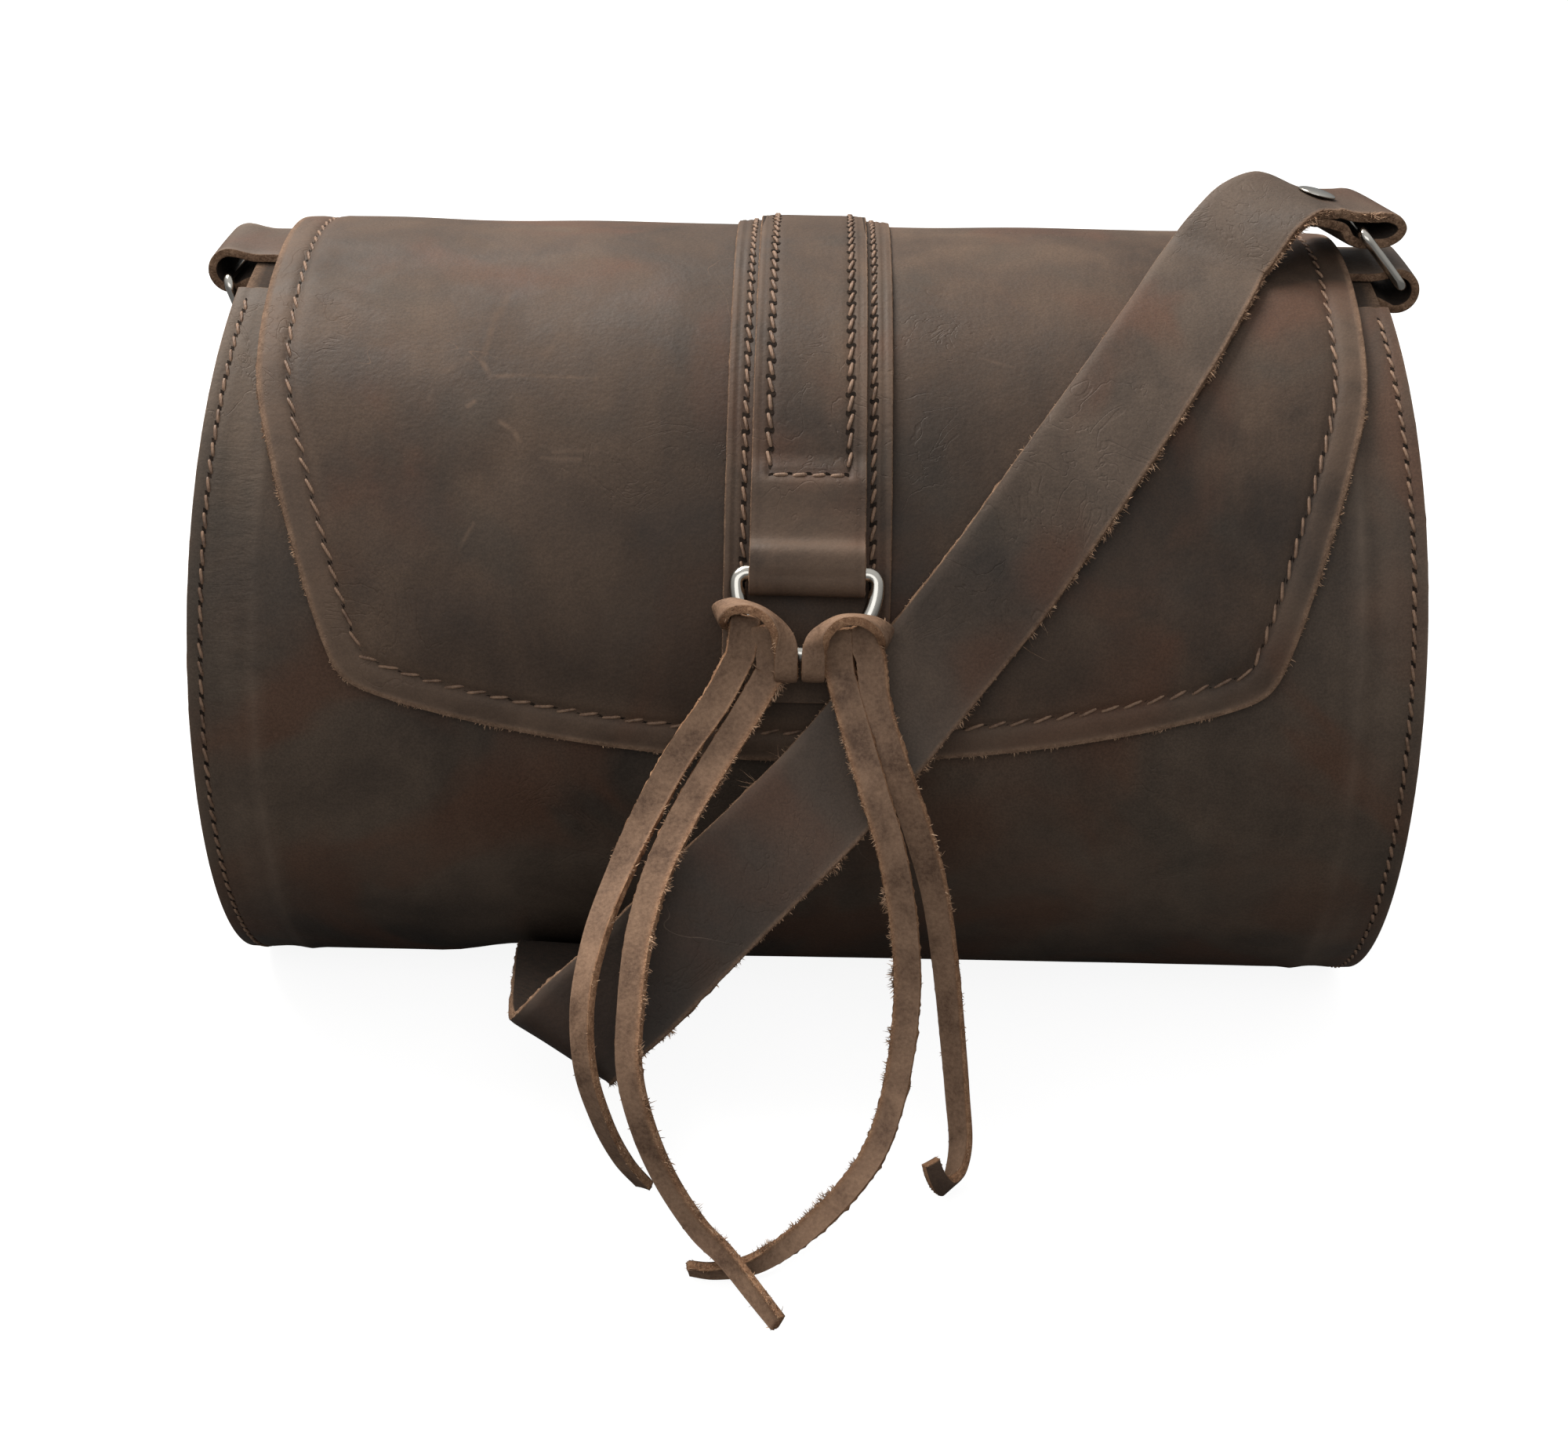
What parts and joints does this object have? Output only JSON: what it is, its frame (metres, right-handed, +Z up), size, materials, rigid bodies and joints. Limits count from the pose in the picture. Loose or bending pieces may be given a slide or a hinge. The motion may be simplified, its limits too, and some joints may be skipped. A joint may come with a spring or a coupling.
{
  "type": "leather crossbody bag",
  "caption": "Barrel-shaped leather crossbody bag with a curved flap, a ring with hanging laces, round end panels and a long riveted shoulder strap.",
  "frame": {"origin": "centre of the flat base that the bag stands on", "axes": "+X along the barrel to the right end as seen from the front, +Y to the back of the bag, +Z up"},
  "size_m": [0.31, 0.3817, 0.1963],
  "materials": {
    "bag_leather": "oiled, matt, with pull-up marks",
    "flap_leather": "oiled, matt, with pull-up marks",
    "strap_leather": "oiled, matt, raw edges",
    "lace_leather": "dry, raw edges",
    "nickel": "polished nickel plate"
  },
  "bodies": {
    "root": {"body_panel": "bag_leather", "end_panel_left": "bag_leather", "end_panel_right": "bag_leather", "flap": "flap_leather", "flap_band": "flap_leather", "flap_tab": "flap_leather", "flap_ring": "nickel", "lace_left_knot": "lace_leather", "lace_right_knot": "lace_leather", "lace_left_outer": "lace_leather", "lace_left_inner": "lace_leather", "lace_right_inner": "lace_leather", "lace_right_outer": "lace_leather", "end_tab_left": "bag_leather", "end_tab_right": "bag_leather", "side_ring_left": "nickel", "side_ring_right": "nickel", "shoulder_strap": "strap_leather", "strap_rivet_left": "nickel", "strap_rivet_right": "nickel"}
  },
  "joints": []
}
